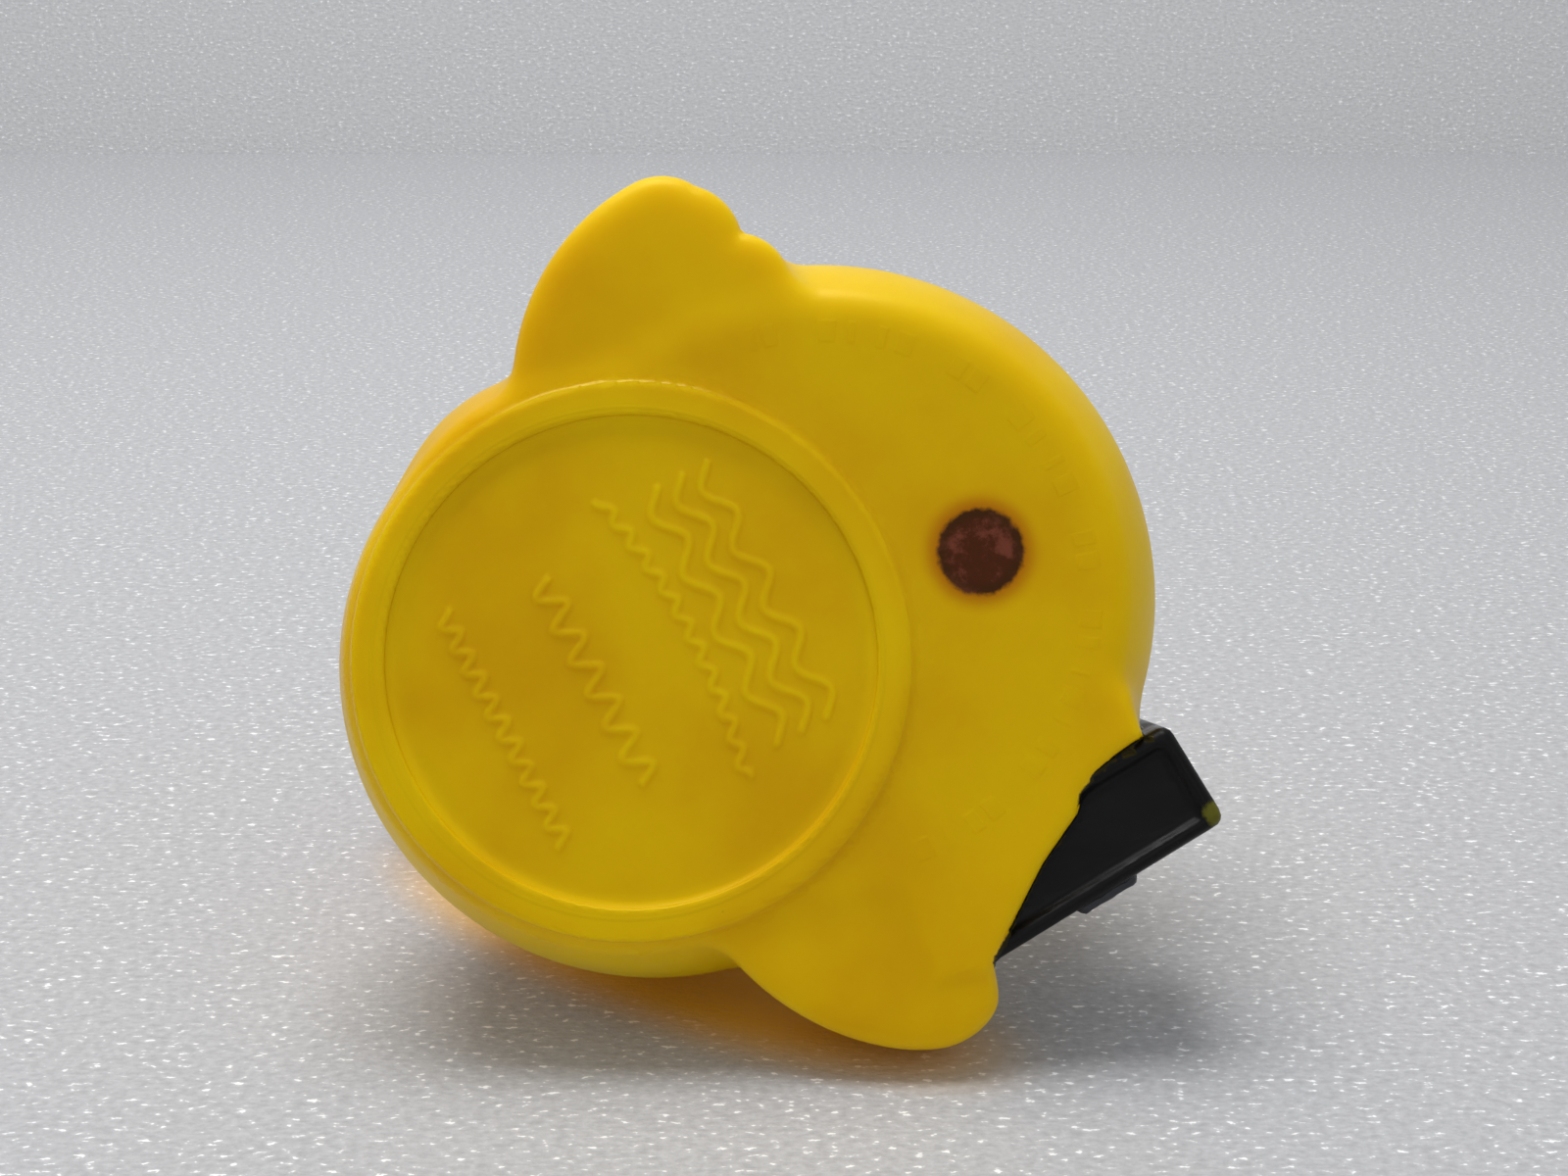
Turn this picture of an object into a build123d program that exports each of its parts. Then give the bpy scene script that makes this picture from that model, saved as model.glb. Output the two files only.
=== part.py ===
from build123d import *
import os

os.makedirs("parts", exist_ok=True)

# Soft vinyl bath duck with a small case moulded against its right side.
# Origin: centre of the foot ring, on the plane the duck stands on.
# +Z up. The duck faces -Y, its left wing is on +X. Millimetres.

# Driving sizes
overall_height = 76.0
breast_radius = 30.2        # widest radius of the breast, about the foot ring's axis
rump_radius = 33.3          # widest radius of the rump
rump_y = 19.2               # axis of the rump behind the axis of the foot ring
head_radius = 20.5
neck_radius = 16.0
bill_radius = 10.5
bill_lip_height = 5.6
wall = 2.0                  # moulded vinyl wall
ring_height = 1.0           # how far the foot ring stands below the flat belly
ring_width = 3.2
lid_recess = 1.2            # the lid's face lies this far above the standing plane
lid_thickness = 2.0
lid_gap = 0.1               # all round the glued lid, filled by the glue
ledge_width = 2.4
wing_reach = 44.0           # tip of the left wing from the centre plane
wing_lens = 27.4            # radius of the rounded paddle that the wings are cut from
wing_mid_z = 9.0
wing_low_z = 1.4            # lowest point of the wing's rounded underside
case_length = 26.9
case_thickness = 10.6
case_height = 20.0
case_foot_z = 1.3           # the case's bottom clears the standing plane by this
case_angle = 13.5           # the rear end of the case is turned in by this much
case_x = -29.9
case_y = 35.4
case_rim = 1.8
web_height = 3.0            # floor that ties the case to the rump and the right wing
weight_radius = 12.0
weight_thickness = 3.0
squeaker_radius = 6.0
squeaker_length = 9.0
squeaker_gap = 0.05         # radial, body of the squeaker in the vinyl socket
insert_gap = 0.04           # radial, cap and reed bed in the squeaker body
vent_radius = 2.0
reed_thickness = 0.15
reed_lift = 0.1             # air gap between the resting reed and its bed

# Sizes that follow
belly_z = ring_height
widest_z = 12.0
rump_top_z = overall_height * 0.475
neck_z = overall_height * 0.475
head_z = overall_height - head_radius
ring_outer = breast_radius - 3.4
ring_inner = ring_outer - ring_width
right_reach = wing_reach + 0.5
lid_radius = ring_inner - lid_gap
lid_top_z = lid_recess + lid_thickness
ledge_top_z = lid_top_z + wall
squeaker_z = overall_height * 9 / 38       # half way up the rump
foot_front = ring_outer + 0.4
foot_rear = rump_radius - 4.0
bore_radius = squeaker_radius + squeaker_gap
bed_radius = squeaker_radius - 1.2 - insert_gap
squeaker_front_y = rump_y + rump_radius - 6.0 - squeaker_length
squeaker_back_y = squeaker_front_y + squeaker_length

# The rounded paddle that a wing is cut from, and its hollow, one wall further in.
paddle_plane = Plane((wing_reach - 26.0, 13.0, 0.0), (0, 1, 0), (1, 0, 0))
paddle_axis = Axis((wing_reach - 26.0, 13.0, 0.0), (0, 0, 1))
with BuildPart() as paddle:
    with BuildSketch(paddle_plane):
        with BuildLine():
            EllipticalCenterArc((0, wing_mid_z), wing_lens, wing_mid_z - wing_low_z, -90.0)
            EllipticalCenterArc((0, wing_mid_z), wing_lens, 14.0, 0.0)
            Line((0, wing_mid_z + 14.0), (0, wing_low_z))
        make_face()
    revolve(axis=paddle_axis)

hollow_lens = wing_lens - 1.3 * wall
with BuildPart() as paddle_hollow:
    with BuildSketch(paddle_plane):
        with BuildLine():
            EllipticalCenterArc((0, wing_mid_z), hollow_lens, wing_mid_z - wing_low_z - wall, -90.0)
            EllipticalCenterArc((0, wing_mid_z), hollow_lens, 14.0 - wall, 0.0)
            Line((0, wing_mid_z + 14.0 - wall), (0, wing_low_z + wall))
        make_face()
    revolve(axis=paddle_axis)

# Left wing: the paddle cut to the outline of three feather tips.
with BuildPart() as left_wing:
    with BuildSketch(Plane.XY):
        with BuildLine():
            ThreePointArc((24.0, -2.5), (wing_reach - 4.8, 4.1), (wing_reach, 14.6))
            ThreePointArc((wing_reach, 14.6), (wing_reach - 0.6, 18.2), (wing_reach - 2.3, 19.9))
            ThreePointArc((wing_reach - 2.3, 19.9), (wing_reach - 4.6, 22.1), (wing_reach - 7.9, 22.8))
            ThreePointArc((wing_reach - 7.9, 22.8), (wing_reach - 9.6, 24.7), (wing_reach - 12.2, 26.0))
            Polyline((wing_reach - 12.2, 26.0), (16.0, 27.0), (16.0, -1.0), (24.0, -2.5))
        make_face()
    extrude(amount=40.0)
    add(paddle.part, mode=Mode.INTERSECT)

with BuildPart() as left_hollow:
    with BuildSketch(Plane.XY):
        with Locations((wing_reach - 20.0, 12.5)):
            Ellipse(20.0 - 2.0 * wall, 13.0 - 1.4 * wall)
    extrude(amount=40.0)
    add(paddle_hollow.part, mode=Mode.INTERSECT)

# Right wing: set further back, its tip plain and round, its rear edge ends at the case.
with BuildPart() as right_wing:
    with BuildSketch(Plane.XY):
        with BuildLine():
            ThreePointArc((-24.0, -1.0), (3.4 - right_reach, 8.1), (-right_reach, 16.9))
            ThreePointArc((-right_reach, 16.9), (0.9 - right_reach, 21.2), (3.0 - right_reach, 23.3))
            Polyline((3.0 - right_reach, 23.3), (6.1 - right_reach, 24.6), (-16.0, 27.0), (-16.0, 0.5),
                     (-24.0, -1.0))
        make_face()
    extrude(amount=40.0)
    add(mirror(paddle.part, about=Plane.YZ, mode=Mode.PRIVATE), mode=Mode.INTERSECT)

with BuildPart() as right_hollow:
    with BuildSketch(Plane.XY):
        with Locations((20.0 - right_reach, 13.6)):
            Ellipse(20.0 - 2.0 * wall, 12.4 - 1.4 * wall)
    extrude(amount=40.0)
    add(mirror(paddle_hollow.part, about=Plane.YZ, mode=Mode.PRIVATE), mode=Mode.INTERSECT)

# Web: a floor level with the belly that fills the corner between right wing, rump and case.
with BuildPart() as web:
    with BuildSketch(Plane.XY.offset(belly_z)):
        with BuildLine():
            Polyline((case_x - 8.4, case_y - 11.6), (case_x - 0.7, case_y - 3.7), (case_x + 2.8, case_y + 0.7),
                     (case_x + 4.6, case_y + 1.4), (case_x + 6.5, case_y + 3.2), (case_x + 7.7, case_y + 5.4),
                     (case_x + 8.3, case_y + 7.6), (case_x + 13.0, case_y + 4.0), (case_x + 13.0, case_y - 16.0),
                     (case_x - 6.0, case_y - 16.0), (case_x - 8.4, case_y - 11.6))
        make_face()
    extrude(amount=web_height)

# One lip of the bill: a flat round cushion.
with BuildPart() as bill_lip:
    Cylinder(bill_radius, bill_lip_height)
    fillet(bill_lip.edges().filter_by(GeomType.CIRCLE), bill_lip_height * 0.48)

# Case: rims stand proud of the panels, a latch on the outer broad side, a handle on top.
with BuildPart() as case_outer:
    with Locations((0, 0, case_foot_z)):
        Box(case_thickness, case_length, case_height, align=(Align.CENTER, Align.CENTER, Align.MIN))
    fillet(case_outer.edges().filter_by(Axis.Z), 1.6)
    fillet(case_outer.faces().sort_by(Axis.Z)[-1].edges(), 1.2)
    with Locations((0, 0, case_foot_z)):
        Box(case_thickness - 2 * case_rim, case_length - 2 * case_rim, 1.6, mode=Mode.SUBTRACT)
    with Locations((-case_thickness / 2, 0, case_foot_z + case_height / 2)):
        Box(1.0, case_length - 2 * case_rim - 2.0, case_height - 2 * case_rim - 2.0, mode=Mode.SUBTRACT)
    with Locations((-case_thickness / 2, 0, case_foot_z + 3.4)):
        Box(2.0, 7.3, 4.6)
    with BuildSketch(Plane.YZ.offset(-1.4)):
        with Locations((0, case_foot_z + case_height - 0.5)):
            SlotOverall(12.0, 9.0)
            SlotOverall(7.0, 4.0, mode=Mode.SUBTRACT)
    extrude(amount=2.8)

# The hollow of the case and the passage that joins it to the body.
with BuildPart() as case_inner:
    with Locations((0, 0, case_foot_z + wall + 1.0)):
        Box(case_thickness - 2 * wall, case_length - 2 * wall - 1.0, case_height - 2 * wall - 1.0,
            align=(Align.CENTER, Align.CENTER, Align.MIN))
    with Locations((case_thickness / 2 + 0.8, -4.0, case_foot_z + wall + 3.0)):
        Box(7.0, case_length / 2, case_height - 2 * wall - 5.0,
            align=(Align.CENTER, Align.CENTER, Align.MIN))

# The socket that grips the squeaker grows from the inside of the rump.
with BuildPart() as socket:
    with BuildSketch(Plane.XZ.offset(-squeaker_front_y)):
        with Locations((0, squeaker_z)):
            Circle(bore_radius + wall)
    extrude(amount=-40.0)
    with BuildSketch(Plane.XZ.offset(-rump_y)):
        with BuildLine():
            Polyline((0, 0.0), (foot_rear, belly_z + 0.5), (rump_radius - 0.6, widest_z))
            Bezier((rump_radius - 0.6, widest_z), (rump_radius - 0.6, rump_top_z - 10.0),
                   (rump_radius * 0.58, rump_top_z - 1.0), (0, rump_top_z - 0.6))
            Line((0, rump_top_z - 0.6), (0, 0.0))
        make_face()
    revolve(axis=Axis((0, rump_y, 0), (0, 0, 1)), mode=Mode.INTERSECT)

with BuildPart() as body_shell:
    # Breast, neck and head are turned about the ring's axis, the rump about its own.
    # The second pass cuts the hollow, one wall further in.
    for inset, how in ((0.0, Mode.ADD), (wall, Mode.SUBTRACT)):
        with BuildSketch(Plane.XZ):
            with BuildLine():
                Line((0, belly_z + inset), (foot_front - inset, belly_z + inset))
                Bezier((foot_front - inset, belly_z + inset), (breast_radius - inset, belly_z + 2.5 + inset),
                       (breast_radius - inset, widest_z))
                Bezier((breast_radius - inset, widest_z), (breast_radius - inset, neck_z - 9.0 - inset),
                       (neck_radius - inset, neck_z - 7.0 - inset), (neck_radius - inset, neck_z))
                Bezier((neck_radius - inset, neck_z), (neck_radius - inset, neck_z + 6.0),
                       (head_radius - inset, head_z - 11.0), (head_radius - inset, head_z))
                CenterArc((0, head_z), head_radius - inset, 0, 90)
                Line((0, overall_height - inset), (0, belly_z + inset))
            make_face()
        revolve(axis=Axis.Z, mode=how)
        with BuildSketch(Plane.XZ.offset(-rump_y)):
            with BuildLine():
                Line((0, belly_z + inset), (foot_rear - inset, belly_z + inset))
                Bezier((foot_rear - inset, belly_z + inset), (rump_radius - inset, belly_z + 2.5 + inset),
                       (rump_radius - inset, widest_z))
                Bezier((rump_radius - inset, widest_z), (rump_radius - inset, rump_top_z - 10.0 - inset),
                       (rump_radius * 0.6 - inset, rump_top_z - inset), (0, rump_top_z - inset))
                Line((0, rump_top_z - inset), (0, belly_z + inset))
            make_face()
        revolve(axis=Axis((0, rump_y, 0), (0, 0, 1)), mode=how)
        add(left_wing.part if inset == 0.0 else left_hollow.part, mode=how)
        add(right_wing.part if inset == 0.0 else right_hollow.part, mode=how)
        case = case_outer.part if inset == 0.0 else case_inner.part
        add(case.moved(Location((case_x, case_y, 0), (0, 0, -case_angle))), mode=how)
        if inset == 0.0:
            add(web.part)
            # Tail, turned up behind.
            with BuildSketch(Plane((0, rump_y + rump_radius - 16.0, rump_top_z - 10.0), (1, 0, 0), (0, 0.8, 0.6))):
                Ellipse(16.0, 9.5)
            with BuildSketch(Plane((0, rump_y + rump_radius - 6.5, rump_top_z - 1.5), (1, 0, 0), (0, 0.72, 0.69))):
                Ellipse(11.0, 6.0)
            with BuildSketch(Plane((0, rump_y + rump_radius + 0.5, rump_top_z + 6.5), (1, 0, 0), (0, 0.45, 0.9))):
                Ellipse(4.6, 2.6)
            with BuildSketch(Plane((0, rump_y + rump_radius + 1.1, rump_top_z + 7.7), (1, 0, 0), (0, 0.45, 0.9))):
                Ellipse(2.2, 1.2)
            loft()
            # Bill, two lips a little apart at the tip.
            add(bill_lip.part.moved(Location((0, -head_radius - 0.5, head_z - 2.2), (-9.0, 0, 0))))
            add(bill_lip.part.moved(Location((0, -head_radius + 1.5, head_z - 6.0), (8.0, 0, 0))))
    # Foot ring, the ledge behind it that the lid is glued to, and the lid's opening.
    with BuildSketch(Plane.XY):
        Circle(ring_outer)
    extrude(amount=ledge_top_z)
    with BuildSketch(Plane.XY):
        Circle(ring_inner)
    extrude(amount=lid_top_z, mode=Mode.SUBTRACT)
    with BuildSketch(Plane.XY.offset(lid_top_z)):
        Circle(ring_inner - ledge_width)
    extrude(amount=ledge_top_z - lid_top_z, mode=Mode.SUBTRACT)
    # Squeaker socket with its bore, and the vent through the rump.
    add(socket.part)
    with BuildSketch(Plane.XZ.offset(-squeaker_front_y)):
        with Locations((0, squeaker_z)):
            Circle(bore_radius)
    extrude(amount=-squeaker_length - 0.1, mode=Mode.SUBTRACT)
    with BuildSketch(Plane.XZ.offset(-squeaker_back_y)):
        with Locations((0, squeaker_z)):
            Circle(vent_radius)
    extrude(amount=-20.0, mode=Mode.SUBTRACT)
body_shell.part.label = "body_shell"
export_step(body_shell.part, "parts/body_shell.step")

# Lid: a plain disc with a low wall inside that locates the weight.
with BuildPart() as base_lid:
    with BuildSketch(Plane.XY.offset(lid_recess)):
        Circle(lid_radius)
    extrude(amount=lid_thickness)
    with BuildSketch(Plane.XY.offset(lid_top_z)):
        Circle(weight_radius + 1.8)
        Circle(weight_radius + 0.3, mode=Mode.SUBTRACT)
    extrude(amount=weight_thickness)
    fillet(base_lid.faces().sort_by(Axis.Z)[0].edges(), 0.5)
base_lid.part.label = "base_lid"
export_step(base_lid.part, "parts/base_lid.step")

# Weight: a steel disc that lies flat on the lid and keeps the duck upright in water.
with BuildPart() as ballast_weight:
    with BuildSketch(Plane.XY.offset(lid_top_z)):
        Circle(weight_radius)
    extrude(amount=weight_thickness)
    chamfer(ballast_weight.edges(), 0.4)
ballast_weight.part.label = "ballast_weight"
export_step(ballast_weight.part, "parts/ballast_weight.step")

# Squeaker body: a cup, its pierced floor against the end of the socket.
squeak_plane = Plane((0, squeaker_front_y, squeaker_z), (1, 0, 0), (0, 1, 0))
with BuildPart() as squeaker_body:
    with BuildSketch(squeak_plane):
        Circle(squeaker_radius)
    extrude(amount=squeaker_length)
    with BuildSketch(squeak_plane):
        Circle(squeaker_radius - 1.2)
    extrude(amount=squeaker_length - 1.2, mode=Mode.SUBTRACT)
    with BuildSketch(squeak_plane):
        Circle(vent_radius * 0.8)
    extrude(amount=squeaker_length, mode=Mode.SUBTRACT)
squeaker_body.part.label = "squeaker_body"
export_step(squeaker_body.part, "parts/squeaker_body.step")

# Cap: closes the cup on the inner side, a spigot enters it.
with BuildPart() as squeaker_cap:
    with BuildSketch(squeak_plane.offset(-1.0)):
        Circle(squeaker_radius + 1.0)
    extrude(amount=1.0)
    with BuildSketch(squeak_plane):
        Circle(bed_radius)
    extrude(amount=1.0)
    with BuildSketch(squeak_plane.offset(-1.0)):
        Circle(vent_radius * 0.8)
    extrude(amount=2.0, mode=Mode.SUBTRACT)
squeaker_cap.part.label = "squeaker_cap"
export_step(squeaker_cap.part, "parts/squeaker_cap.step")

# Reed bed: a disc on the floor of the cup with a grooved tongue that carries the reed.
bed_disc = 1.4
tongue_length = squeaker_length - 1.2 - bed_disc - 1.8
bed_plane = squeak_plane.offset(squeaker_length - 1.2 - bed_disc)
with BuildPart() as reed_bed:
    with BuildSketch(bed_plane):
        Circle(bed_radius)
    extrude(amount=bed_disc)
    with BuildSketch(bed_plane):
        Rectangle(4.0, 2.0, align=(Align.CENTER, Align.MAX))
    extrude(amount=-tongue_length)
    with BuildSketch(bed_plane.offset(-tongue_length + 0.8)):
        Rectangle(1.6, 2.6, align=(Align.CENTER, Align.CENTER))
    extrude(amount=tongue_length + bed_disc, mode=Mode.SUBTRACT)
reed_bed.part.label = "reed_bed"
export_step(reed_bed.part, "parts/reed_bed.step")

# Reed: a thin brass strip over the groove, held at its root beside the disc.
with BuildPart() as reed:
    with BuildSketch(bed_plane.offset(-0.1)):
        with Locations((0, reed_lift)):
            Rectangle(3.0, reed_thickness, align=(Align.CENTER, Align.MIN))
    extrude(amount=-tongue_length + 0.4)
reed.part.label = "reed"
export_step(reed.part, "parts/reed.step")

for piece in (body_shell, base_lid, ballast_weight, squeaker_body, squeaker_cap, reed_bed, reed):
    box = piece.part.bounding_box()
    print(piece.part.label, len(piece.part.solids()), round(piece.part.volume, 2), box.min, box.max)
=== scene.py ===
"""Looks of a soft vinyl bath duck with a small case moulded at its right side.

The duck stands in the shared frame on its foot ring, facing -Y, left wing on +X. In the scene it lies on its
right wing and head with the belly shown, so the scene's floor is a plane tilted against those two.
"""

import math
from functools import partial

import bpy
import numpy as np
from mathutils import Matrix, Vector


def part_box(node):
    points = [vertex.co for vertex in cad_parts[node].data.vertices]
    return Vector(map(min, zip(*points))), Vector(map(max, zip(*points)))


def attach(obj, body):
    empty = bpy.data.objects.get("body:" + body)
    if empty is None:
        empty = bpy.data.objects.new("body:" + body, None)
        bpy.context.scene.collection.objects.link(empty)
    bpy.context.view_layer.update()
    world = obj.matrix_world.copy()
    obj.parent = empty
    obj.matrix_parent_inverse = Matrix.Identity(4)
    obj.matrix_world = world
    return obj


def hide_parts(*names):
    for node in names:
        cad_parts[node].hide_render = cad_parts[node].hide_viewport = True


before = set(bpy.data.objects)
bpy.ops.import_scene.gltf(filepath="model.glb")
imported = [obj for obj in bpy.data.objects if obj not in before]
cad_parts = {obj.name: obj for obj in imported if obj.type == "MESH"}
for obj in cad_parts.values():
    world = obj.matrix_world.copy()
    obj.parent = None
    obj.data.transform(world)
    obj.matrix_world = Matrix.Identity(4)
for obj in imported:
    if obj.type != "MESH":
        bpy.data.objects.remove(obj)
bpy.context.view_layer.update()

# ---------------------------------------------------------------- sizes, in millimetres
MM = 0.001
lid_low, lid_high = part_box("base_lid")
weight_low, weight_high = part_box("ballast_weight")
cup_low, cup_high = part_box("squeaker_body")

LID_R = lid_high.x / MM
LID_LIFT = 0.4
LID_FACE = lid_low.z / MM - LID_LIFT
LID_BACK = weight_low.z / MM
WEIGHT_R = weight_high.x / MM
WEIGHT_TOP = weight_high.z / MM
TOTAL_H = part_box("body_shell")[1].z / MM
WING_REACH = 44.0
RIGHT_REACH = 45.2
BELLY = 0.4
RING_IN = LID_R + 0.1
RING_OUT = RING_IN + 3.2
WALL = 2.2
BREAST_R = RING_OUT + 3.4
BREAST_LEAN = (-2.3, 1.2)
RUMP_R = RING_OUT + 6.5
RUMP_Y = 19.2
WIDEST = 12.0
HEAD_R = 20.5
HEAD_Z = TOTAL_H - HEAD_R
RUMP_TOP = TOTAL_H * 0.475
CASE_AT = (-30.05, 35.4)
CASE_TURN = math.radians(13.5)
CASE_SIZE = (11.0, 26.9, 20.0)
CASE_FOOT = 1.15
CUP_R = cup_high.x / MM
CUP_Y = (cup_low.y / MM, cup_high.y / MM)
CUP_Z = (cup_low.z + cup_high.z) / 2 / MM
DOT_AT = (-0.3, 35.1)
DOT_R = 4.1
BODY_STEP = 0.68
LID_STEPS = 196


# ---------------------------------------------------------------- the duck as a field of distances
def join(a, b, k):
    """The smaller of two distances, with the corner between them filled to a radius of about k."""
    h = np.clip(0.5 + 0.5 * (b - a) / k, 0, 1)
    return b * (1 - h) + a * h - k * h * (1 - h)


def cut(a, b, k):
    """The larger of two distances, with the corner between them rounded to about k."""
    return -join(-a, -b, k)


def cushion(r, z, radius, mid, low, top, n_low, n_top):
    """A round cushion: radius at height mid, superelliptic below to low and above to top."""
    under = z < mid
    n = np.where(under, n_low, n_top)
    h = np.where(under, mid - low, top - mid)
    u = np.maximum(r / radius, 1e-6)
    w = np.maximum(np.abs(z - mid) / h, 1e-6)
    g = (u ** n + w ** n) ** (1 / n)
    slope = g ** (1 - n) * np.sqrt((u ** (n - 1) / radius) ** 2 + (w ** (n - 1) / h) ** 2)
    return (g - 1) / slope


def egg(x, y, z, at, size):
    """An ellipsoid at a point, with its three half axes."""
    px, py, pz = (x - at[0]) / size[0], (y - at[1]) / size[1], (z - at[2]) / size[2]
    k0 = np.sqrt(px * px + py * py + pz * pz) + 1e-9
    k1 = np.sqrt((px / size[0]) ** 2 + (py / size[1]) ** 2 + (pz / size[2]) ** 2) + 1e-9
    return k0 * (k0 - 1) / k1


def block(x, y, z, half, soft):
    """A box round the origin with edges rounded to soft."""
    qx, qy, qz = np.abs(x) - half[0] + soft, np.abs(y) - half[1] + soft, np.abs(z) - half[2] + soft
    outside = np.sqrt(np.maximum(qx, 0) ** 2 + np.maximum(qy, 0) ** 2 + np.maximum(qz, 0) ** 2)
    return outside + np.minimum(np.maximum(qx, np.maximum(qy, qz)), 0) - soft


def taper(x, y, z, a, b, ra, rb, flat):
    """A rounded cone from a to b, widened across x by the factor flat."""
    x = x / flat
    ax, ay, az = a[0] / flat, a[1], a[2]
    d = np.array([b[0] / flat - ax, b[1] - ay, b[2] - az])
    t = np.clip(((x - ax) * d[0] + (y - ay) * d[1] + (z - az) * d[2]) / (d @ d), 0, 1)
    gap = np.sqrt((x - ax - t * d[0]) ** 2 + (y - ay - t * d[1]) ** 2 + (z - az - t * d[2]) ** 2)
    return gap - (ra + (rb - ra) * t)


def arc(p, q, bulge, steps):
    """Points from p to q along a circle that stands bulge clear of the straight line, to its right."""
    p, q = np.array(p, float), np.array(q, float)
    half = np.linalg.norm(q - p) / 2
    radius = (half * half + bulge * bulge) / (2 * bulge)
    way = (q - p) / (2 * half)
    side = np.array([way[1], -way[0]])
    centre = (p + q) / 2 - side * (radius - bulge)
    start = math.atan2(*(p - centre)[::-1])
    sweep = 2 * math.atan2(half, radius - bulge)
    turns = start + np.linspace(0, sweep, steps, endpoint=False)
    return np.stack([centre[0] + radius * np.cos(turns), centre[1] + radius * np.sin(turns)], 1)


def wing_outline(reach, stops, bulges):
    """A wing from its front root round its tips to its rear root. Stops are (in from the tip, along)."""
    stops = [(reach - back, y) for back, y in stops]
    parts = [arc(p, q, b, 20) for p, q, b in zip(stops, stops[1:], bulges)]
    return np.concatenate(parts + [np.array([stops[-1], (14.0, 28.0), (14.0, -4.0)])])


# the left wing ends in three feather tips, the right one in a plain round one against the case
LEFT_WING = wing_outline(WING_REACH, [(19.7, -3.9), (0.0, 14.6), (2.2, 19.9), (7.9, 22.8), (12.2, 26.0)],
                         [4.4, 0.8, 0.9, 0.7])
RIGHT_WING = wing_outline(RIGHT_REACH, [(20.5, -1.4), (0.0, 17.0), (2.4, 23.3), (6.1, 24.0)], [3.9, 1.1, 0.2])
# floor level with the belly that ties the case to the right wing and the rump
WEB = np.array([(-39.1, 23.2), (-35.8, 26.5), (-30.6, 31.7), (-27.1, 36.1), (-25.4, 37.0), (-23.8, 39.0),
                (-22.9, 41.2), (-22.0, 44.6), (-18.0, 44.3), (-15.0, 42.0), (-15.0, 18.0), (-38.5, 18.0)])
WEB_TOP = 17.0
# the wings' round upper and lower sides: radius, height of the middle, foot, top, roundness below and above
WING_LENS_AT = (WING_REACH - 26.0, 13.0)
WING_LENS = (28.6, 8.0, 0.4, 21.5, 8.0, 2.2)


def inside_outline(x, y, outline):
    """Signed distance to a closed outline, seen from above."""
    p, q = outline, np.roll(outline, -1, 0)
    best = np.full(np.broadcast(x, y).shape, 1e9)
    sign = np.ones_like(best)
    for (ax, ay), (bx, by) in zip(p, q):
        ex, ey = bx - ax, by - ay
        wx, wy = x - ax, y - ay
        t = np.clip((wx * ex + wy * ey) / (ex * ex + ey * ey), 0, 1)
        best = np.minimum(best, (wx - ex * t) ** 2 + (wy - ey * t) ** 2)
        above, below, left = y >= ay, y < by, ex * wy > ey * wx
        flip = (above & below & left) | (~above & ~below & ~left)
        sign = np.where(flip, -sign, sign)
    return sign * np.sqrt(best)


def web(x, y, z):
    """Signed distance to the web between case, wing and rump."""
    return np.maximum(inside_outline(x, y, WEB), z - WEB_TOP)


def case_parts(x, y, z):
    """The case alone: a small box with raised rims, a latch and a handle."""
    dx, dy = x - CASE_AT[0], y - CASE_AT[1]
    c, s = math.cos(CASE_TURN), math.sin(CASE_TURN)
    across, along, up = dx * c - dy * s, dx * s + dy * c, z - CASE_FOOT
    w, l, h = CASE_SIZE
    body = block(across, along, up - h / 2, (w / 2, l / 2, h / 2), 1.2)
    # the foot of the case is sunk between its rims, and so is its broad side
    foot = block(across, along, up, (w / 2 - 1.6, l / 2 - 1.6, 0.9), 0.8)
    side = block(across + w / 2, along, up - h / 2, (0.7, l / 2 - 2.2, h / 2 - 2.4), 0.4)
    body = cut(body, -np.minimum(foot, side), 0.9)
    latch = block(across + w / 2, along, up - 3.4, (0.9, 3.3, 2.0), 0.7)
    grip = np.sqrt((np.sqrt(along ** 2 + ((up - h) * 1.25) ** 2) - 5.2) ** 2 + across ** 2) - 1.3
    return join(body, grip, 0.5), latch


def rim_of_case(x, y, z):
    """Distance to the outer edges of the case's foot."""
    dx, dy = x - CASE_AT[0], y - CASE_AT[1]
    c, s = math.cos(CASE_TURN), math.sin(CASE_TURN)
    across, along = np.abs(dx * c - dy * s) - CASE_SIZE[0] / 2, np.abs(dx * s + dy * c) - CASE_SIZE[1] / 2
    return np.hypot(np.maximum(across, along), z - CASE_FOOT)


def wings(x, y, z):
    """Both wings, each a round cushion cut to its outline."""
    ax = np.abs(x)
    lens = cushion(np.hypot(ax - WING_LENS_AT[0], y - WING_LENS_AT[1]), z, *WING_LENS)
    outline = np.where(x > 0, inside_outline(ax, y, LEFT_WING), inside_outline(ax, y, RIGHT_WING))
    return cut(outline, lens, 2.6)


def leaning(x, y, z):
    """Distance from the breast's axis, which leans, so the breast is fuller on the right than on the left."""
    share = np.clip((z - BELLY) / (WIDEST - BELLY), 0, 1)
    return np.sqrt((x - BREAST_LEAN[0] * share) ** 2 + (y - BREAST_LEAN[1] * share) ** 2)


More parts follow.
